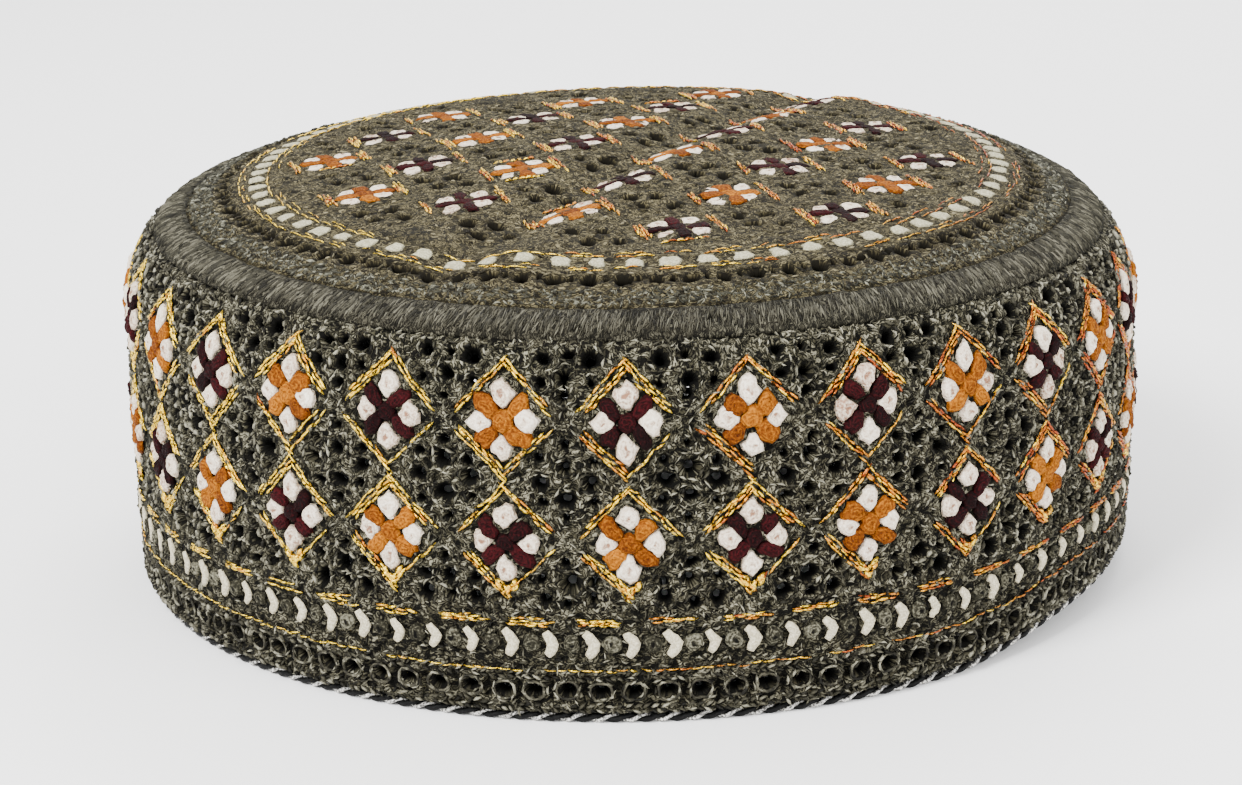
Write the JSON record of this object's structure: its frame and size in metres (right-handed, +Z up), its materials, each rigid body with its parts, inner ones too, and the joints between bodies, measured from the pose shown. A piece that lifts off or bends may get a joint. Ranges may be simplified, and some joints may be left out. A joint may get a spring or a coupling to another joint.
{
  "type": "kufi cap",
  "caption": "Oval pillbox cap of pierced cloth with an upright side band, a stitched seam over the shoulder, a near-flat crown and a cord-edged rim, open below.",
  "frame": {"origin": "middle of the oval that the rim's edging cord stands on", "axes": "+Z up from the open rim to the crown, -Y towards the side that the picture shows, +X to the right of the picture"},
  "size_m": [0.1914, 0.1976, 0.0781],
  "materials": {
    "crown": "matt olive grey thread with cream, orange, maroon and gold embroidery",
    "seam_band": "satin olive grey stitches",
    "side_band": "matt olive grey net of thread with cream, orange, maroon and gold embroidery",
    "edging_cord": "black and silver twisted cord"
  },
  "bodies": {
    "root": {"crown": "crown", "seam_band": "seam_band", "side_band": "side_band", "edging_cord": "edging_cord"}
  },
  "joints": []
}
